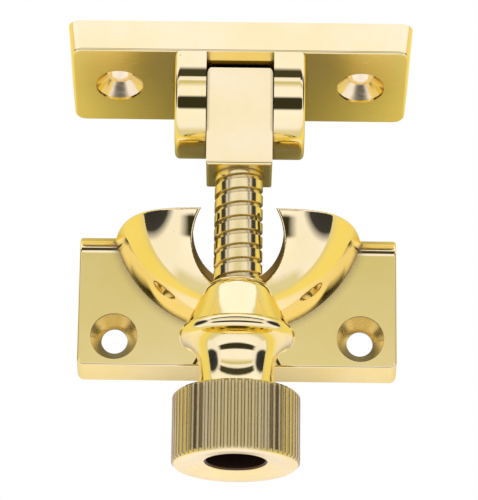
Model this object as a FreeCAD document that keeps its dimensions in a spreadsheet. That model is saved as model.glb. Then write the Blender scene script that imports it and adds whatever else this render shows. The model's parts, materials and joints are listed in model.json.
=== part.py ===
import FreeCAD, Part
import math
import os
import re
import Sketcher

# Brighton-pattern sash fastener in cast and turned brass.
# Frame: X along the two plates, -Y towards the hand, +Z up. The origin is on the keep
# plate's underside, midway between its two screw holes. Lengths are millimetres.
# The clamp nut closes the arm on the keep's hollow dome, with the arm in the dome's notch.

SIZES = [
    ("keep_width", 57.0), ("keep_thick", 4.0), ("keep_back", 19.4), ("keep_front", 5.3),
    ("front_slope", 1.7), ("back_round", 3.8), ("keep_corner", 1.3), ("keep_edge", 0.4),
    ("keep_spacing", 44.0), ("screw_radius", 2.35), ("seat_radius", 4.25),
    ("seat_rim", 0.5), ("seat_depth", 3.2), ("hinge_seat_depth", 2.6),
    ("dome_radius", 23.7), ("dome_wall", 2.5), ("dome_y", 23.7), ("dome_drop", 2.3),
    ("dome_back", 18.2), ("dome_back_curve", 21.0), ("dome_overhang", -1.0),
    ("notch_radius", 8.0), ("notch_y", 14.0), ("notch_z", 17.35), ("notch_rise", 33.0),
    ("notch_depth", 12.0), ("dome_edge", 0.35),
    ("hinge_front_width", 59.6), ("hinge_back_width", 61.2), ("hinge_thick", 6.6),
    ("hinge_height", 20.6), ("hinge_spacing", 43.2), ("hinge_corner", 2.0), ("hinge_edge", 0.4),
    ("face_to_pin", 3.4), ("plate_lean", 16.0), ("pin_y", 40.0), ("pin_z", 16.8),
    ("lug_radius", 10.2), ("lug_overall", 22.9), ("lug_gap", 11.9), ("lug_round", 0.9),
    ("recess_radius", 8.4), ("pin_radius", 2.5), ("pin_bore_radius", 2.55),
    ("arm_tilt", 2.0), ("block_width", 11.6), ("block_height", 11.5), ("block_front", 14.2),
    ("block_end_radius", 7.1), ("block_round", 0.7), ("block_edge", 0.6),
    ("spigot_radius", 3.2), ("spigot_length", 7.0), ("spigot_play", 0.02), ("spigot_gap", 0.2),
    ("rod_radius", 4.25), ("rod_end", 56.8), ("rod_chamfer", 0.5),
    ("thread_lead", 2.6), ("thread_start", 0.8), ("groove_width", 0.75), ("groove_depth", 0.47),
    ("tapping_radius", 1.9), ("tapping_depth", 9.0),
    ("shoulder_radius", 2.6), ("shoulder_length", 1.1), ("shank_radius", 1.88),
    ("shank_length", 8.0), ("head_radius", 4.0), ("head_length", 2.2), ("head_round", 0.6),
    ("slot_width", 1.0), ("slot_depth", 1.1),
    ("washer_radius", 4.9), ("washer_hole_radius", 2.65), ("washer_thick", 1.0),
    ("nut_start", 34.5), ("nut_bore_radius", 4.33), ("nut_shoulder", 14.0),
    ("nut_counterbore", 5.1), ("nut_length", 32.7), ("nose_radius", 4.9), ("nose_round", 0.4),
    ("shoulder_curve", 3.5), ("cone_radius", 6.2), ("cone_place", 2.1), ("cone_curve", 40.0),
    ("crest_radius", 9.5), ("crest_place", 8.4), ("crest_curve", 1.4), ("crest_end", 10.7),
    ("neck_curve", 4.9), ("neck_radius", 6.6), ("neck_place", 14.7),
    ("collar_radius", 7.3), ("collar_curve", 9.0),
    ("knob_radius", 11.0), ("knob_place", 20.3), ("knob_bevel", 0.5),
    ("knob_dish", 0.6), ("knob_rim", 9.0), ("hole_lip", 0.4),
    ("flute_count", 60), ("flute_radius", 0.36),
]
NEAR = 0.01
FUNCTIONS = ("sqrt", "cos", "sin")

doc = FreeCAD.newDocument("SashFastener")
sheet = doc.addObject("Spreadsheet::Sheet", "Sizes")
for row, (alias, number) in enumerate(SIZES, start=1):
    sheet.set(f"A{row}", alias)
    sheet.set(f"B{row}", str(number))
    sheet.setAlias(f"B{row}", alias)
doc.recompute()


def bound(text):
    """The expression with every size name read from the sheet."""
    def name(match):
        word = match.group(0)
        return word if word in FUNCTIONS else "Sizes." + word
    return re.sub(r"\b[a-z][a-z_]*\b", name, text)


def value(text):
    """The number that an expression gives now."""
    return float(sheet.evalExpression(bound(text)))


def bind(item, **expressions):
    for prop, text in expressions.items():
        item.setExpression(prop, bound(text))


def new_body(label):
    body = doc.addObject("PartDesign::Body", label)
    body.Label = label
    return body


def place(item, y, z, turn):
    """Put an item at a point, turned about the X axis by an angle in degrees."""
    item.Placement.Rotation = FreeCAD.Rotation(FreeCAD.Vector(1, 0, 0), value(turn))
    for axis, text in (("y", y), ("z", z)):
        item.setExpression("Placement.Base." + axis, bound(text))


def origin_plane(body, role):
    return next(item for item in body.Origin.OriginFeatures if item.Role == role)


def new_sketch(body, name, role):
    sketch = body.newObject("Sketcher::SketchObject", name)
    sketch.AttachmentSupport = [(origin_plane(body, role), "")]
    sketch.MapMode = "FlatFace"
    return sketch


def pin_point(sketch, geometry, point, x_text, y_text):
    """Hold one point of a sketch at a place that the sheet gives."""
    for kind, text in (("DistanceX", x_text), ("DistanceY", y_text)):
        limit = Sketcher.Constraint(kind, -1, 1, geometry, point, value(text))
        index = sketch.addConstraint(limit)
        sketch.setExpression(f"Constraints[{index}]", bound(text))


def add_circle(sketch, x_text, y_text, radius_text):
    center = FreeCAD.Vector(value(x_text), value(y_text), 0)
    circle = Part.Circle(center, FreeCAD.Vector(0, 0, 1), value(radius_text))
    geometry = sketch.addGeometry(circle, False)
    pin_point(sketch, geometry, 3, x_text, y_text)
    hold_radius(sketch, geometry, radius_text)


def hold_radius(sketch, geometry, text):
    index = sketch.addConstraint(Sketcher.Constraint("Radius", geometry, value(text)))
    sketch.setExpression(f"Constraints[{index}]", bound(text))


def add_axis(sketch, x_text, y_text, end_x_text, end_y_text):
    """A construction line that a groove turns about."""
    start = FreeCAD.Vector(value(x_text), value(y_text), 0)
    end = FreeCAD.Vector(value(end_x_text), value(end_y_text), 0)
    geometry = sketch.addGeometry(Part.LineSegment(start, end), True)
    pin_point(sketch, geometry, 1, x_text, y_text)
    pin_point(sketch, geometry, 2, end_x_text, end_y_text)


def arc_between(start, end, radius, turn):
    """The short arc from start to end that turns left (1) or right (-1)."""
    chord = end - start
    across = FreeCAD.Vector(-chord.y, chord.x, 0).normalize()
    reach = math.sqrt(radius ** 2 - (chord.Length / 2) ** 2)
    center = (start + end) / 2 + across * (turn * reach)
    first, last = (start, end) if turn > 0 else (end, start)
    angles = [math.atan2(point.y - center.y, point.x - center.x) for point in (first, last)]
    if angles[1] < angles[0]:
        angles[1] += 2 * math.pi
    circle = Part.Circle(center, FreeCAD.Vector(0, 0, 1), radius)
    return Part.ArcOfCircle(circle, *angles)


def add_outline(sketch, corners):
    """A closed outline. A corner is (x, y), or (x, y, radius, turn) before an arc."""
    points = [FreeCAD.Vector(value(c[0]), value(c[1]), 0) for c in corners]
    ends = []
    for number, corner in enumerate(corners):
        start = points[number]
        end = points[(number + 1) % len(points)]
        if len(corner) == 2:
            geometry = sketch.addGeometry(Part.LineSegment(start, end), False)
            ends.append((geometry, 1, 2))
        else:
            arc = arc_between(start, end, value(corner[2]), corner[3])
            geometry = sketch.addGeometry(arc, False)
            hold_radius(sketch, geometry, corner[2])
            ends.append((geometry, 1, 2) if corner[3] > 0 else (geometry, 2, 1))
    for number, corner in enumerate(corners):
        geometry, first, last = ends[number]
        following, next_first = ends[(number + 1) % len(ends)][:2]
        pin_point(sketch, geometry, first, corner[0], corner[1])
        sketch.addConstraint(
            Sketcher.Constraint("Coincident", geometry, last, following, next_first))


def pad(body, sketch, length):
    feature = body.newObject("PartDesign::Pad", sketch.Name + "Pad")
    feature.Profile = sketch
    feature.SideType = "Symmetric"
    bind(feature, Length=length)
    doc.recompute()
    return feature


def pocket(body, sketch, length):
    """Cut a sketch's outline to both sides of its plane."""
    feature = body.newObject("PartDesign::Pocket", sketch.Name + "Pocket")
    feature.Profile = sketch
    feature.SideType = "Symmetric"
    bind(feature, Length=length)
    doc.recompute()
    return feature


def turned(body, kind, sketch, axis="V_Axis"):
    """Turn a sketch right round its axis, as a PartDesign Revolution or Groove."""
    feature = body.newObject("PartDesign::" + kind, sketch.Name + kind)
    feature.Profile = sketch
    feature.ReferenceAxis = (sketch, [axis])
    feature.Angle = 360
    doc.recompute()
    return feature


def mirrored(body, feature):
    twin = body.newObject("PartDesign::Mirrored", feature.Name + "Twin")
    twin.Originals = [feature]
    twin.MirrorPlane = (origin_plane(body, "YZ_Plane"), [""])
    body.Tip = twin
    doc.recompute()


def rounded(body, base, name, radius, test, kind="Fillet"):
    """Fillet or chamfer the edges of a feature that pass a test."""
    edges = [f"Edge{i}" for i, edge in enumerate(base.Shape.Edges, start=1) if test(edge)]
    if not edges:
        raise RuntimeError(name + " found no edge")
    feature = body.newObject("PartDesign::" + kind, name)
    feature.Base = (base, edges)
    bind(feature, **{"Radius" if kind == "Fillet" else "Size": radius})
    doc.recompute()
    return feature


def all_points(edge, test):
    """Whether a test holds along the whole edge."""
    steps = 5
    first, last = edge.ParameterRange
    places = [first + (last - first) * step / (steps - 1) for step in range(steps)]
    return all(test(edge.valueAt(place)) for place in places)


def near(a, b):
    return abs(a - b) < NEAR


def screw_seat(body, name, role, center, face, back, depth):
    """A countersunk screw hole at x = center, from its face to the plate's back."""
    sketch = new_sketch(body, name, role)
    inward = "1" if value(back) > value(face) else "-1"
    sink = f"{face} + {inward} * "
    add_outline(sketch, [
        (center, face),
        (f"{center} + seat_radius", face),
        (f"{center} + seat_radius", sink + "seat_rim"),
        (f"{center} + screw_radius", sink + depth),
        (f"{center} + screw_radius", back),
        (center, back),
    ])
    add_axis(sketch, center, face, center, back)
    mirrored(body, turned(body, "Groove", sketch, "Axis0"))


def make_keep_plate():
    """The lower plate with its hollow dome, notched for the arm."""
    body = new_body("keep_plate")
    dome_sphere(body, "DomeOutside", "Additive", "dome_radius")
    below = new_sketch(body, "BelowPlate", "YZ_Plane")
    add_outline(below, [
        ("dome_y - 2 * dome_radius", "0"),
        ("dome_y - 2 * dome_radius", "-2 * dome_radius"),
        ("dome_y + 2 * dome_radius", "-2 * dome_radius"),
        ("dome_y + 2 * dome_radius", "0"),
    ])
    pocket(body, below, "2 * keep_width")
    behind = new_sketch(body, "BehindDome", "YZ_Plane")
    add_outline(behind, [
        ("dome_back", "-keep_thick"),
        ("dome_y + 2 * dome_radius", "-keep_thick"),
        ("dome_y + 2 * dome_radius", "dome_radius"),
        ("dome_back + dome_overhang", "dome_radius", "dome_back_curve", -1),
        ("dome_back", "keep_thick"),
    ])
    pocket(body, behind, "2 * keep_width")

    side = new_sketch(body, "KeepSide", "YZ_Plane")
    add_outline(side, [
        ("keep_back", "0"),
        ("keep_back", "keep_thick - back_round", "back_round", 1),
        ("keep_back - back_round", "keep_thick"),
        ("-keep_front", "keep_thick"),
        ("-keep_front - front_slope", "0"),
    ])
    plate = pad(body, side, "keep_width")
    half = value("keep_width / 2")
    front = value("-keep_front")
    corners = rounded(body, plate, "KeepCorners", "keep_corner", lambda edge: all_points(
        edge, lambda p: near(abs(p.x), half) and p.y < front + NEAR) and edge.Length < half)
    top = value("keep_thick")
    rounded(body, corners, "KeepTopEdge", "keep_edge", lambda edge: all_points(
        edge, lambda p: near(p.z, top) and near(p.y, front)))
    dome_sphere(body, "DomeInside", "Subtractive", "dome_radius - dome_wall")
    notch = body.newObject("PartDesign::SubtractiveCylinder", "ArmNotch")
    notch.AttachmentSupport = [(origin_plane(body, "XY_Plane"), "")]
    notch.MapMode = "FlatFace"
    across = FreeCAD.Vector(1, 0, 0)
    notch.AttachmentOffset.Rotation = FreeCAD.Rotation(across, value("90 - notch_rise"))
    bind(notch, Radius="notch_radius", Height="notch_depth + dome_radius")
    notch.setExpression("AttachmentOffset.Base.y",
                        bound("notch_y + notch_depth * cos(notch_rise)"))
    notch.setExpression("AttachmentOffset.Base.z",
                        bound("notch_z - notch_depth * sin(notch_rise)"))
    doc.recompute()
    rounded(body, notch, "DomeEdges", "dome_edge", dome_rim_edge)
    screw_seat(body, "KeepSeat", "XZ_Plane", "keep_spacing / 2", "keep_thick", "0", "seat_depth")
    return body


def dome_sphere(body, name, kind, radius):
    """The dome's outside or its hollow, as a whole sphere."""
    sphere = body.newObject(f"PartDesign::{kind}Sphere", name)
    sphere.AttachmentSupport = [(origin_plane(body, "XY_Plane"), "")]
    sphere.MapMode = "FlatFace"
    bind(sphere, Radius=radius)
    sphere.setExpression("AttachmentOffset.Base.y", bound("dome_y"))
    sphere.setExpression("AttachmentOffset.Base.z", bound("-dome_drop"))
    doc.recompute()


def dome_rim_edge(edge):
    """The outer rim of the dome, round the notch and along the leaning back cut."""
    center = FreeCAD.Vector(0, value("dome_y"), value("-dome_drop"))
    top = value("keep_thick")
    outer = value("dome_radius")
    return (all_points(edge, lambda p: near((p - center).Length, outer) and p.z > top - NEAR)
            and edge.CenterOfMass.z > top + value("dome_edge"))


def make_hinge_plate():
    """The upper plate with its two lugs, drawn about the hinge pin."""
    body = new_body("hinge_plate")
    back = "face_to_pin + hinge_thick"
    plan = new_sketch(body, "HingePlan", "XY_Plane")
    add_outline(plan, [
        ("-hinge_front_width / 2", "face_to_pin"),
        ("hinge_front_width / 2", "face_to_pin"),
        ("hinge_back_width / 2", back),
        ("-hinge_back_width / 2", back),
    ])
    plate = pad(body, plan, "hinge_height")
    half = value("hinge_height / 2")
    width = value("lug_overall")
    corners = rounded(body, plate, "HingeCorners", "hinge_corner", lambda edge: all_points(
        edge, lambda p: near(abs(p.z), half) and abs(p.x) > width))
    face = value("face_to_pin")
    rounded(body, corners, "HingeFaceEdge", "hinge_edge", lambda edge: all_points(
        edge, lambda p: near(p.y, face)))

    side_view = new_sketch(body, "LugSide", "YZ_Plane")
    add_outline(side_view, [
        ("0", "-lug_radius"),
        ("face_to_pin + hinge_thick / 2", "-lug_radius"),
        ("face_to_pin + hinge_thick / 2", "lug_radius"),
        ("0", "lug_radius", "lug_radius", 1),
        ("-lug_radius", "0", "lug_radius", 1),
    ])
    lugs = pad(body, side_view, "lug_overall")
    side = value("lug_overall / 2")
    reach = value("lug_radius")
    rounded(body, lugs, "LugEdges", "lug_round", lambda edge: all_points(
        edge, lambda p: near(abs(p.x), side) and near(math.hypot(min(p.y, 0), p.z), reach)))

    gap = new_sketch(body, "LugGap", "YZ_Plane")
    add_outline(gap, [
        ("-2 * lug_radius", "-2 * lug_radius"),
        ("face_to_pin", "-2 * lug_radius"),
        ("face_to_pin", "2 * lug_radius"),
        ("-2 * lug_radius", "2 * lug_radius"),
    ])
    pocket(body, gap, "lug_gap")
    recess = new_sketch(body, "BlockRecess", "YZ_Plane")
    add_circle(recess, "0", "0", "recess_radius")
    pocket(body, recess, "lug_gap")
    bore = new_sketch(body, "LugBore", "YZ_Plane")
    add_circle(bore, "0", "0", "pin_radius")
    pocket(body, bore, "2 * lug_overall")
    screw_seat(body, "HingeSeat", "XY_Plane", "hinge_spacing / 2", "face_to_pin", back,
               "hinge_seat_depth")
    place(body, y="pin_y", z="pin_z", turn="-plate_lean")
    return body


def make_hinge_pin():
    body = new_body("hinge_pin")
    end = new_sketch(body, "PinEnd", "YZ_Plane")
    add_circle(end, "0", "0", "pin_radius")
    rod = pad(body, end, "lug_overall")
    side = value("lug_overall / 2")
    rounded(body, rod, "PinEnds", "hinge_edge", lambda edge: all_points(
        edge, lambda p: near(abs(p.x), side)), kind="Chamfer")
    place(body, y="pin_y", z="pin_z", turn="-plate_lean")
    return body


def make_pivot_block():
    """The arm's block, drawn about the pin with the rod along its own Z."""
    body = new_body("pivot_block")
    half = "block_height / 2"
    tangent = "-sqrt(block_end_radius ^ 2 - (block_height / 2) ^ 2)"
    side = new_sketch(body, "BlockSide", "YZ_Plane")
    add_outline(side, [
        (half, "block_front"),
        ("-" + half, "block_front"),
        ("-" + half, tangent, "block_end_radius", 1),
        (half, tangent),
    ])
    block = pad(body, side, "block_width")
    flank = value("block_width / 2")
    front = value("block_front")
    soft = rounded(body, block, "BlockEnd", "block_round", lambda edge: all_points(
        edge, lambda p: near(abs(p.x), flank) and p.z < value(tangent) + NEAR))
    rounded(body, soft, "BlockFrontEdge", "block_edge", lambda edge: all_points(
        edge, lambda p: near(p.z, front)))
    bore = new_sketch(body, "BlockBore", "YZ_Plane")
    add_circle(bore, "0", "0", "pin_bore_radius")
    pocket(body, bore, "2 * block_width")
    socket = new_sketch(body, "SpigotHole", "XZ_Plane")
    add_outline(socket, [
        ("0", "block_front - spigot_length"),
        ("spigot_radius", "block_front - spigot_length"),
        ("spigot_radius", "block_front"),
        ("0", "block_front"),
    ])
    turned(body, "Groove", socket)
    place(body, y="pin_y", z="pin_z", turn="90 - arm_tilt")
    return body


def make_threaded_rod():
    """The threaded rod, screwed into the block and tapped at its free end."""
    body = new_body("threaded_rod")
    profile = new_sketch(body, "RodProfile", "XZ_Plane")
    spigot = "spigot_radius - spigot_play"
    add_outline(profile, [
        ("0", "block_front - spigot_length + spigot_gap"),
        (spigot, "block_front - spigot_length + spigot_gap"),
        (spigot, "block_front"),
        ("rod_radius", "block_front"),
        ("rod_radius", "rod_end - rod_chamfer"),
        ("rod_radius - rod_chamfer", "rod_end"),
        ("tapping_radius", "rod_end"),
        ("tapping_radius", "rod_end - tapping_depth"),
        ("0", "rod_end - tapping_depth"),
    ])
    turned(body, "Revolution", profile)
    groove = new_sketch(body, "ThreadGroove", "XZ_Plane")
    start = "block_front + thread_start"
    add_outline(groove, [
        ("rod_radius - groove_depth", start + " - groove_width / 3"),
        ("rod_radius + groove_depth", start + " - groove_width"),
        ("rod_radius + groove_depth", start + " + groove_width"),
        ("rod_radius - groove_depth", start + " + groove_width / 3"),
    ])
    thread = body.newObject("PartDesign::SubtractiveHelix", "Thread")
    thread.Profile = groove
    thread.ReferenceAxis = (groove, ["V_Axis"])
    thread.Mode = "pitch-height-angle"
    thread.LeftHanded = False
    bind(thread, Pitch="thread_lead", Height="rod_end - block_front + thread_lead")
    doc.recompute()
    place(body, y="pin_y", z="pin_z", turn="90 - arm_tilt")
    return body


def make_stop_screw():
    """The shouldered screw in the rod's end, which keeps the nut captive."""
    body = new_body("stop_screw")
    profile = new_sketch(body, "ScrewProfile", "XZ_Plane")
    under_head = "rod_end + shoulder_length"
    top = "rod_end + shoulder_length + head_length"
    add_outline(profile, [
        ("0", "rod_end - shank_length"),
        ("shank_radius", "rod_end - shank_length"),
        ("shank_radius", "rod_end"),
        ("shoulder_radius", "rod_end"),
        ("shoulder_radius", under_head),
        ("head_radius", under_head),
        ("head_radius", top + " - head_round", "head_round", 1),
        ("head_radius - head_round", top),
        ("0", top),
    ])
    turned(body, "Revolution", profile)
    slot = new_sketch(body, "ScrewSlot", "YZ_Plane")
    add_outline(slot, [
        ("-slot_width / 2", top + " - slot_depth"),
        ("slot_width / 2", top + " - slot_depth"),
        ("slot_width / 2", top + " + slot_depth"),
        ("-slot_width / 2", top + " + slot_depth"),
    ])
    pocket(body, slot, "3 * head_radius")
    place(body, y="pin_y", z="pin_z", turn="90 - arm_tilt")
    return body


def make_stop_washer():
    body = new_body("stop_washer")
    profile = new_sketch(body, "WasherProfile", "XZ_Plane")
    near_end = "rod_end + (shoulder_length - washer_thick) / 2"
    far_end = "rod_end + (shoulder_length + washer_thick) / 2"
    add_outline(profile, [
        ("washer_hole_radius", near_end),
        ("washer_radius", near_end),
        ("washer_radius", far_end),
        ("washer_hole_radius", far_end),
    ])
    turned(body, "Revolution", profile)
    place(body, y="pin_y", z="pin_z", turn="90 - arm_tilt")
    return body


def make_clamp_nut():
    """The acorn nut with its knurled knob, drawn from its nose."""
    body = new_body("clamp_nut")
    profile = new_sketch(body, "NutProfile", "XZ_Plane")
    add_outline(profile, [
        ("nut_bore_radius", "0"),
        ("nose_radius - nose_round", "0", "nose_round", 1),
        ("nose_radius", "nose_round", "shoulder_curve", 1),
        ("cone_radius", "cone_place", "cone_curve", -1),
        ("crest_radius", "crest_place", "crest_curve", 1),
        ("crest_radius", "crest_end", "neck_curve", -1),
        ("neck_radius", "neck_place", "collar_curve", -1),
        ("collar_radius", "knob_place"),
        ("knob_radius - knob_bevel", "knob_place"),
        ("knob_radius", "knob_place + knob_bevel"),
        ("knob_radius", "nut_length - knob_bevel"),
        ("knob_radius - knob_bevel", "nut_length"),
        ("knob_rim", "nut_length"),
        ("nut_counterbore + hole_lip", "nut_length - knob_dish"),
        ("nut_counterbore", "nut_length - knob_dish - hole_lip"),
        ("nut_counterbore", "nut_shoulder"),
        ("nut_bore_radius", "nut_shoulder"),
    ])
    turned(body, "Revolution", profile)
    flute = new_sketch(body, "Flute", "XY_Plane")
    add_circle(flute, "knob_radius", "0", "flute_radius")
    cut = pocket(body, flute, "4 * nut_length")
    knurl = body.newObject("PartDesign::PolarPattern", "Knurl")
    knurl.Originals = [cut]
    knurl.Axis = (flute, ["N_Axis"])
    knurl.Angle = 360
    bind(knurl, Occurrences="flute_count")
    body.Tip = knurl
    doc.recompute()
    along = "nut_start * cos(arm_tilt)"
    rise = "nut_start * sin(arm_tilt)"
    place(body, y="pin_y - " + along, z="pin_z + " + rise, turn="90 - arm_tilt")
    return body


MAKERS = (make_keep_plate, make_hinge_plate, make_hinge_pin, make_pivot_block,
          make_threaded_rod, make_stop_screw, make_stop_washer, make_clamp_nut)


def main():
    pieces = [make() for make in MAKERS]
    doc.recompute()
    for item in doc.Objects:
        if {"Invalid", "Error"} & set(item.State):
            raise RuntimeError(f"{item.Name} failed: {item.State}")
    os.makedirs("parts", exist_ok=True)
    for piece in pieces:
        if piece.Shape.isNull() or not piece.Shape.isValid():
            raise RuntimeError(piece.Label + " is not a valid shape")
        box = piece.Shape.BoundBox
        print(f"{piece.Label}: {len(piece.Shape.Solids)} solid, {piece.Shape.Volume:.1f} mm3, "
              f"x {box.XMin:.2f}..{box.XMax:.2f} y {box.YMin:.2f}..{box.YMax:.2f} "
              f"z {box.ZMin:.2f}..{box.ZMax:.2f}")
        piece.Shape.exportStep(f"parts/{piece.Label}.step")


main()
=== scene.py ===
import json
import math

import bpy
from mathutils import Matrix, Vector


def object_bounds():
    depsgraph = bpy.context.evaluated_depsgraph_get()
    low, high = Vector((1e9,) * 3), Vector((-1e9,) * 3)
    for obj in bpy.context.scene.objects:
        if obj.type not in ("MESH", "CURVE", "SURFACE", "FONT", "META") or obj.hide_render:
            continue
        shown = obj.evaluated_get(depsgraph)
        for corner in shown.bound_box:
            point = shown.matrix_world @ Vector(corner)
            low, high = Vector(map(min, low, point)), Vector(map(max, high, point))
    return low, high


# A Brighton-pattern sash fastener in polished brass: the looks, the studio and the camera.
# Lengths are metres, in the part's own frame: X along the plates, +Z up, -Y to the hand.

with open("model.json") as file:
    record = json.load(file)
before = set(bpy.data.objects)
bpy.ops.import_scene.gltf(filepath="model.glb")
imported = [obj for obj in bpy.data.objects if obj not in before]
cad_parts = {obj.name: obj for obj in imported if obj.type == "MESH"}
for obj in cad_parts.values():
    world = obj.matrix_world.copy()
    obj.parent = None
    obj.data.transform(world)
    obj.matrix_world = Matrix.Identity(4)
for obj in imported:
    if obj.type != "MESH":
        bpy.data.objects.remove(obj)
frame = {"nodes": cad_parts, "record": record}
cad_low, cad_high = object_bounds()
nodes = frame["nodes"]
scene = bpy.context.scene
joints = {joint["name"]: joint for joint in frame["record"]["behaviour"]["joints"]}
mounts = {mount["name"]: mount for mount in frame["record"]["mounts"]}

MM = 0.001
WHITE = (1.0, 1.0, 1.0, 1)
AO_SAMPLES = 8
# How wide the edge of a mask by distance from an axis is.
MASK_EDGE = 0.1 * MM

# The arm: its pin, its direction out to the knob, the radii of what lies round its axis, and
# the place along it where the hole in the nut's end starts.
PIN = Vector(joints["arm_swing"]["pos_m"])
ARM_AXIS = Vector(joints["nut_travel"]["axis"]).normalized()
KNURL_RADIUS = 10.8 * MM
KNURL_EDGE = 0.3 * MM
THREAD_RADIUS = 4.3 * MM
END_HOLE_RADIUS = 5.4 * MM
END_HOLE_START = ARM_AXIS.dot(PIN) + 56 * MM

# The countersinks' outer radius, and one hole of each plate as a point and an axis.
SEAT_RADIUS = 4.3 * MM
KEEP_HOLE = ((22 * MM, 0, 0), (0, 0, 1))
HINGE_HOLE = (mounts["hinge_screw_right"]["pos_m"], mounts["hinge_screw_right"]["axis"])

# The arm's notch in the dome: a round cut along a rising axis.
NOTCH_RADIUS = 8.15 * MM
NOTCH_RISE = math.radians(33)
NOTCH = ((0, 14 * MM, 17.35 * MM), (0, -math.cos(NOTCH_RISE), math.sin(NOTCH_RISE)))

# A face is satin where its normal points this far to the front, from fully to not at all.
SATIN_FULL, SATIN_NONE = -0.95, -0.88

# The brass tones, each the light and the deep one that drift across a surface.
CAST_TONES = ((0.94, 0.775, 0.30), (0.91, 0.74, 0.25))
TURNED_TONES = ((0.92, 0.765, 0.29), (0.88, 0.72, 0.24))
FIXING_TONES = ((0.50, 0.36, 0.15), (0.36, 0.25, 0.10))
# Crevice brown: patina, and painted shade where corners close in.
CREVICE_PATINA_AND_SHADE = (0.16, 0.09, 0.03, 1)
PIT_BROWN = (0.30, 0.20, 0.08, 1)
SEAT_GOLD = (0.80, 0.64, 0.34, 1)
# Painted shade for the wall of the arm's notch.
NOTCH_SHADE_BROWN = (0.20, 0.10, 0.045, 1)
# Painted shade for the knurl's flutes.
KNURL_SHADE_OLIVE = (0.36, 0.27, 0.09, 1)
THREAD_GOLD = (0.85, 0.66, 0.20, 1)
# Painted shade inside the hole in the nut's end.
HOLE_SHADE_BROWN = (0.10, 0.055, 0.025, 1)


# ---- shader building blocks -------------------------------------------------------------

class Graph:
    """A material's or world's node tree, with short calls for the nodes used here."""

    def __init__(self, tree):
        self.tree = tree
        self.tree.nodes.clear()

    def node(self, kind, inputs=None, **settings):
        made = self.tree.nodes.new(kind)
        for name, setting in settings.items():
            setattr(made, name, setting)
        for name, source in (inputs or {}).items():
            self.feed(made.inputs[name], source)
        return made

    def feed(self, socket, source):
        if isinstance(source, bpy.types.NodeSocket):
            self.tree.links.new(source, socket)
        else:
            socket.default_value = source

    def math(self, operation, *values):
        made = self.tree.nodes.new("ShaderNodeMath")
        made.operation = operation
        for socket, source in zip(made.inputs, values):
            self.feed(socket, source)
        return made.outputs[0]

    def vector(self, operation, output, *values):
        made = self.node("ShaderNodeVectorMath", operation=operation)
        for socket, source in zip(made.inputs, values):
            self.feed(socket, source)
        return made.outputs[output]

    def split(self, vector):
        return self.node("ShaderNodeSeparateXYZ", {"Vector": vector}).outputs

    def ramp(self, factor, stops):
        made = self.node("ShaderNodeValToRGB", {"Fac": factor})
        elements = made.color_ramp.elements
        while len(elements) < len(stops):
            elements.new(0.5)
        for element, (place, color) in zip(elements, stops):
            element.position = place
            element.color = (*color, 1)
        return made.outputs["Color"]

    def noise(self, where, scale, detail=2.0, rough=0.5):
        return self.node("ShaderNodeTexNoise", {
            "Vector": where, "Scale": scale, "Detail": detail,
            "Roughness": rough}).outputs["Fac"]

    def mix(self, factor, first, second, blend="MIX"):
        made = self.node("ShaderNodeMix", data_type="RGBA", blend_type=blend)
        self.feed(made.inputs[0], factor)
        self.feed(made.inputs[6], first)
        self.feed(made.inputs[7], second)
        return made.outputs[2]

    def stretched(self, where, scale, turn=(0, 0, 0)):
        return self.node("ShaderNodeMapping", {
            "Vector": where, "Scale": scale, "Rotation": turn}).outputs["Vector"]

    def range(self, source, low, high, to_low, to_high):
        return self.node("ShaderNodeMapRange", {
            "Value": source, "From Min": low, "From Max": high,
            "To Min": to_low, "To Max": to_high}).outputs["Result"]

    def folded(self, where):
        """The place with its X made positive, so that one mask serves both sides."""
        parts = self.split(where)
        return self.node("ShaderNodeCombineXYZ", {
            "X": self.math("ABSOLUTE", parts["X"]), "Y": parts["Y"],
            "Z": parts["Z"]}).outputs["Vector"]

    def axis_radius(self, where, point, axis):
        """How far a place lies from a line."""
        out = self.vector("SUBTRACT", "Vector", where, tuple(point))
        across = self.vector("CROSS_PRODUCT", "Vector", out, tuple(axis))
        return self.vector("LENGTH", "Value", across)

    def near_axis(self, where, line, radius):
        """1 within a radius of a line (point, axis), and 0 outside it."""
        return self.range(self.axis_radius(where, *line), radius, radius - MASK_EDGE, 0.0, 1.0)


# ---- brass ------------------------------------------------------------------------------

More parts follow.
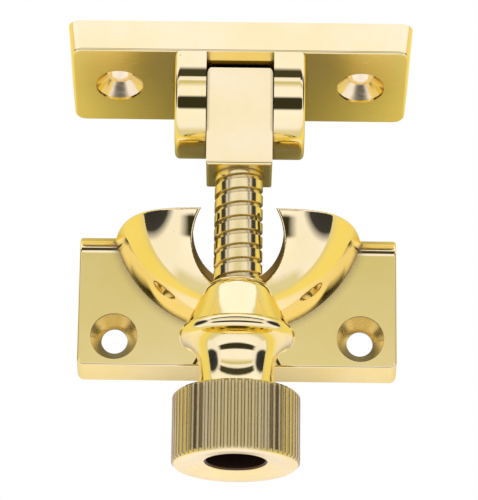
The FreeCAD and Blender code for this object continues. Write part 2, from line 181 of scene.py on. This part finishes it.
class Brass:
    """A brass material. Each method lays one thing over its tone, roughness and normal."""

    def __init__(self, name, tones, polish):
        self.material = bpy.data.materials.new(name)
        self.material.use_nodes = True
        self.graph = graph = Graph(self.material.node_tree)
        spot = graph.node("ShaderNodeTexCoord").outputs
        self.where = spot["Object"]
        facing = graph.split(spot["Normal"])["Y"]
        self.satin = graph.range(facing, SATIN_FULL, SATIN_NONE, 1.0, 0.0)
        cloud = graph.noise(self.where, 90.0, detail=4.0, rough=0.6)
        light, deep = tones
        self.tone = graph.mix(graph.range(cloud, 0.35, 0.65, 0.0, 1.0),
                              (*light, 1), (*deep, 1))
        self.roughness = graph.range(cloud, 0.3, 0.7, polish * 0.8, polish * 1.35)
        self.normal = None

    def stain(self, mask, color, strength=1.0):
        mask = self.graph.math("MULTIPLY", mask, strength)
        self.tone = self.graph.mix(mask, self.tone, color)

    def roughen(self, mask, amount=1.0):
        more = self.graph.math("MULTIPLY", mask, amount)
        self.roughness = self.graph.math("ADD", self.roughness, more)

    def bump(self, height, strength, distance):
        inputs = {"Height": height, "Strength": strength, "Distance": distance}
        if self.normal is not None:
            inputs["Normal"] = self.normal
        self.normal = self.graph.node("ShaderNodeBump", inputs).outputs["Normal"]

    def add_tarnish(self, amount, reach, clear):
        """Patina that stays where a buff can't get, deepened into painted shade: brown within
        reach of a corner, wherever less than clear of the way out is open."""
        graph = self.graph
        crevice = graph.node("ShaderNodeAmbientOcclusion", {"Distance": reach},
                             samples=AO_SAMPLES)
        hidden = graph.range(crevice.outputs["AO"], 0.50, clear, amount, 0.0)
        speck = graph.noise(self.where, 1800.0, detail=3.0, rough=0.7)
        hidden = graph.math("MULTIPLY", hidden, graph.range(speck, 0.3, 0.7, 0.7, 1.0))
        # Patina and painted shade: brown laid wherever ambient occlusion finds a corner.
        self.stain(hidden, CREVICE_PATINA_AND_SHADE)
        self.roughen(hidden, 0.35)

    def add_polish_marks(self, wave):
        """The buff's unevenness, and fine scratches two ways."""
        graph = self.graph
        along = graph.noise(graph.stretched(self.where, (350, 9000, 9000)), 1.0, detail=3.0)
        across = graph.noise(graph.stretched(self.where, (9000, 500, 9000), (0, 0, 0.5)),
                             1.0, detail=3.0)
        self.roughen(graph.range(graph.math("MAXIMUM", along, across),
                                 0.60, 0.78, 0.0, 0.06))
        self.bump(graph.noise(self.where, 55.0, detail=1.0), wave, 0.6 * MM)
        fine = graph.math("ADD", graph.math("MULTIPLY", along, 0.6), across)
        self.bump(fine, 0.03, 0.01 * MM)

    def add_pits(self):
        """A few small casting pits."""
        graph = self.graph
        cells = graph.node("ShaderNodeTexVoronoi", {"Vector": self.where, "Scale": 420.0})
        pit = graph.range(cells.outputs["Distance"], 0.02, 0.07, 1.0, 0.0)
        rare = graph.range(graph.noise(self.where, 260.0), 0.60, 0.66, 0.0, 1.0)
        pit = graph.math("MULTIPLY", pit, rare)
        self.stain(pit, PIT_BROWN, 0.5)
        self.bump(graph.math("SUBTRACT", 1.0, pit), 0.25, 0.05 * MM)

    def add_countersinks(self, hole):
        """Satin from the countersink, round a hole and its twin on the other side."""
        graph = self.graph
        cut = graph.near_axis(graph.folded(self.where), hole, SEAT_RADIUS)
        lathe = graph.noise(graph.stretched(self.where, (700, 700, 4000)), 1.0, detail=2.0)
        self.roughen(cut, graph.range(lathe, 0.3, 0.7, 0.10, 0.16))
        self.stain(cut, SEAT_GOLD, 0.3)

    def add_notch_shade(self, line):
        """The notch's wall darkened to brown as painted shade, and made dull."""
        notch_shade = self.graph.near_axis(self.where, line, NOTCH_RADIUS)
        # Painted shade: the notch's wall stained brown.
        self.stain(notch_shade, NOTCH_SHADE_BROWN, 0.85)
        self.roughen(notch_shade, 0.28)

    def add_turning(self, rings):
        """Lathe rings along the arm, a knurl darkened with painted shade and dulled, the
        thread, and the end hole darkened with painted shade.
        """
        graph = self.graph
        along = graph.vector("DOT_PRODUCT", "Value", self.where, tuple(ARM_AXIS))
        ring = graph.node("ShaderNodeTexNoise", {
            "W": along, "Scale": 9000.0, "Detail": 3.0},
            noise_dimensions="1D").outputs["Fac"]
        self.bump(ring, rings, 0.03 * MM)
        self.roughen(graph.range(ring, 0.4, 0.7, 0.0, 0.05))
        radius = graph.axis_radius(self.where, PIN, ARM_AXIS)
        knurl = graph.range(radius, KNURL_RADIUS - KNURL_EDGE, KNURL_RADIUS, 0.0, 1.0)
        knurl = graph.math("MULTIPLY", knurl, graph.math("SUBTRACT", 1.0, self.satin))
        # Painted shade: the knurl's flutes darkened to olive, and made duller.
        self.stain(knurl, KNURL_SHADE_OLIVE, 0.45)
        self.roughen(knurl, 0.16)
        thread = graph.math("LESS_THAN", radius, THREAD_RADIUS)
        self.stain(thread, THREAD_GOLD, 0.3)
        self.roughen(thread, 0.05)
        # Painted shade: the hole in the nut's end darkened to near-black brown.
        end_hole_shade = graph.math("MULTIPLY", graph.math("LESS_THAN", radius, END_HOLE_RADIUS),
                            graph.math("GREATER_THAN", along, END_HOLE_START))
        self.stain(end_hole_shade, HOLE_SHADE_BROWN)
        self.roughen(end_hole_shade, 0.35)

    def finish(self):
        shader = self.graph.node("ShaderNodeBsdfPrincipled", {
            "Base Color": self.tone, "Metallic": 1.0, "Roughness": self.roughness,
            "Normal": self.normal})
        self.graph.node("ShaderNodeOutputMaterial", {"Surface": shader.outputs["BSDF"]})
        return self.material


def brass(name, tones, polish, wave, tarnish, reach=1.2 * MM, clear=0.84,
          countersinks=None, notch=None, rings=None):
    """Brass polished to a roughness of about polish, with what else the piece needs."""
    made = Brass(name, tones, polish)
    made.add_tarnish(tarnish, reach, clear)
    made.add_polish_marks(wave)
    made.add_pits()
    made.roughen(made.satin, 0.20)
    if countersinks:
        made.add_countersinks(countersinks)
    if notch:
        made.add_notch_shade(notch)
    if rings:
        made.add_turning(rings)
    return made.finish()


def cast_brass(name, **extra):
    return brass(name, CAST_TONES, polish=0.03, wave=0.035, **extra)


def dress(material, *node_names):
    for name in node_names:
        mesh = nodes[name].data
        mesh.materials.clear()
        mesh.materials.append(material)


dress(cast_brass("cast_brass_keep", tarnish=1.0, reach=2.0 * MM, clear=0.96,
                 countersinks=KEEP_HOLE, notch=NOTCH), "keep_plate")
dress(cast_brass("cast_brass_hinge", tarnish=0.7, countersinks=HINGE_HOLE), "hinge_plate")
dress(cast_brass("cast_brass_block", tarnish=0.7), "pivot_block")
dress(brass("turned_brass", TURNED_TONES, polish=0.045, wave=0.02, tarnish=0.9, rings=0.05),
      "threaded_rod", "clamp_nut")
dress(brass("fixing_brass", FIXING_TONES, polish=0.22, wave=0.05, tarnish=0.8),
      "hinge_pin", "stop_screw", "stop_washer")


# ---- studio ------------------------------------------------------------------------------

# Brightness round the object, by the angle in degrees from the front horizon up over the top
# to the back horizon: a lit front, the dark gap where the camera stands, a diffuser overhead
# with a dimmer band across it, a dark strip behind it, a bright back panel, and a dim foot.
SKY = [(-40, 0.80), (8, 0.80), (18, 1.05), (53, 1.15), (57, 0.04), (78, 0.04), (82, 1.10),
       (99, 1.10), (105, 0.84), (108, 0.70), (111.5, 0.68), (113, 1.05), (120, 1.05),
       (121.5, 0.06), (136, 0.06), (140, 1.10), (178, 1.25), (183, 0.30), (220, 0.30)]
SKY_START, SKY_END = SKY[0][0], SKY[-1][0]
# Past this much to the side, the sky gives way to an even side panel.
SIDE_START, SIDE_END, SIDE_LEVEL = 0.70, 0.80, 1.05
# A dark card low at each side: how far a direction is from a card's middle, and how bright.
CARD_MIDDLE = (0.97, 0.15, 0.18)
CARD = [(0.0, 0.03), (0.30, 0.05), (0.42, 1.0)]

FLOOR_SIZE = 3.0
FLOOR_DROP = 3 * MM
# The floor's glow in the brass, a painted pool of light brightest near a point in front of the
# object, by the distance from that point, as fractions of the reach.
GLOW_POOL_MIDDLE = (0, -45 * MM, 0)
GLOW_POOL_REACH = 0.30
FLOOR_GLOW_POOL = [(0.0, (1.20, 1.16, 1.60)), (0.14, (1.05, 1.00, 1.30)), (0.21, (1.00, 0.88, 0.45)),
        (0.40, (1.00, 0.88, 0.45)), (1.0, (0.85, 0.80, 0.70))]
# The object's shadow in the brass: a dark patch round a point between the plates, and what
# the floor loses near the object.
SHADOW_MIDDLE = (0, 24 * MM, 0)
SHADOW_START, SHADOW_END, SHADOW_LEVEL = 6 * MM, 40 * MM, 0.28
CONTACT_REACH, CONTACT_STRENGTH = 22 * MM, 0.85


def gray(level):
    return (level, level, level)


def warmed(level):
    """A light level's colour: the bright panels are cooler than what they leave dim."""
    bright = min(max((level - 0.7) / 0.35, 0.0), 1.0)
    return (level, level * (0.98 + 0.05 * bright), level * (0.90 + 1.00 * bright))


def white_to_camera(graph, color):
    """The colour as the brass reflects it, and plain white as the camera sees it."""
    seen = graph.node("ShaderNodeLightPath").outputs["Is Camera Ray"]
    return graph.mix(seen, color, WHITE)


def make_studio():
    world = bpy.data.worlds.new("studio")
    scene.world = world
    world.use_nodes = True
    graph = Graph(world.node_tree)
    direction = graph.node("ShaderNodeTexCoord").outputs["Generated"]
    parts = graph.split(direction)
    forward = graph.math("MULTIPLY", parts["Y"], -1.0)
    angle = graph.math("ARCTAN2", parts["Z"], forward)
    turn = graph.range(angle, math.radians(SKY_START), math.radians(SKY_END), 0.0, 1.0)
    span = SKY_END - SKY_START
    glow = graph.ramp(turn, [((degrees - SKY_START) / span, warmed(level))
                             for degrees, level in SKY])
    side = graph.range(graph.math("ABSOLUTE", parts["X"]), SIDE_START, SIDE_END, 0.0, 1.0)
    glow = graph.mix(side, glow, (*warmed(SIDE_LEVEL), 1))
    off = graph.vector("DISTANCE", "Value", graph.folded(direction), CARD_MIDDLE)
    card = graph.ramp(off, [(distance, gray(level)) for distance, level in CARD])
    glow = graph.mix(1.0, glow, card, "MULTIPLY")
    back = graph.node("ShaderNodeBackground", {
        "Color": white_to_camera(graph, glow), "Strength": 1.0})
    graph.node("ShaderNodeOutputWorld", {"Surface": back.outputs["Background"]})


def make_floor():
    """A pale paper floor that glows: plain white to the camera, and in the brass a painted
    glow that reads as a dim floor, like paper in shade.
    """
    bpy.ops.mesh.primitive_plane_add(size=FLOOR_SIZE,
                                     location=(0, 0, cad_low.z - FLOOR_DROP))
    floor = bpy.context.object
    floor.name = "paper_floor"
    material = bpy.data.materials.new("glowing_pale_paper")
    material.use_nodes = True
    graph = Graph(material.node_tree)
    where = graph.node("ShaderNodeTexCoord").outputs["Object"]
    away = graph.vector("DISTANCE", "Value", where, GLOW_POOL_MIDDLE)
    dim = graph.ramp(graph.range(away, 0.0, GLOW_POOL_REACH, 0.0, 1.0), FLOOR_GLOW_POOL)
    behind = graph.vector("DISTANCE", "Value", where, SHADOW_MIDDLE)
    shadow = graph.range(behind, SHADOW_START, SHADOW_END, SHADOW_LEVEL, 1.0)
    dim = graph.mix(1.0, dim, shadow, "MULTIPLY")
    contact = graph.node("ShaderNodeAmbientOcclusion", {"Distance": CONTACT_REACH},
                         samples=AO_SAMPLES)
    dim = graph.mix(CONTACT_STRENGTH, dim, contact.outputs["Color"], "MULTIPLY")
    # Painted light: the paper floor glows, white to the camera and dimmed and tinted in the
    # brass.
    glow = graph.node("ShaderNodeEmission", {
        "Color": white_to_camera(graph, dim), "Strength": 1.0})
    graph.node("ShaderNodeOutputMaterial", {"Surface": glow.outputs["Emission"]})
    floor.data.materials.append(material)


# ---- camera ------------------------------------------------------------------------------

CAMERA_DISTANCE = 0.5
CAMERA_RISE = math.radians(72)
CAMERA_ROLL = math.radians(0.7)
CAMERA_AIM = Vector((0.15, 14.47, 10.0)) * MM
CAMERA_CLIP = (0.05, 20)
# The picture's scale at the aim, in picture units to the millimetre, and its long side.
PICTURE_SCALE = 5.62
PICTURE_LONG_SIDE = 500
SENSOR = 36.0


def make_camera():
    """In front and well above, half a metre away, rolled slightly."""
    back = Vector((0, -math.cos(CAMERA_RISE), math.sin(CAMERA_RISE)))
    data = bpy.data.cameras.new("camera")
    data.sensor_width = SENSOR
    data.lens = PICTURE_SCALE / MM * CAMERA_DISTANCE * SENSOR / PICTURE_LONG_SIDE
    data.clip_start, data.clip_end = CAMERA_CLIP
    camera = bpy.data.objects.new("camera", data)
    scene.collection.objects.link(camera)
    roll = Matrix.Rotation(CAMERA_ROLL, 3, "Z").to_quaternion()
    camera.rotation_mode = "QUATERNION"
    camera.rotation_quaternion = (-back).to_track_quat("-Z", "Y") @ roll
    camera.location = CAMERA_AIM + back * CAMERA_DISTANCE
    scene.camera = camera


make_studio()
make_floor()
make_camera()
scene.view_settings.view_transform = "Standard"
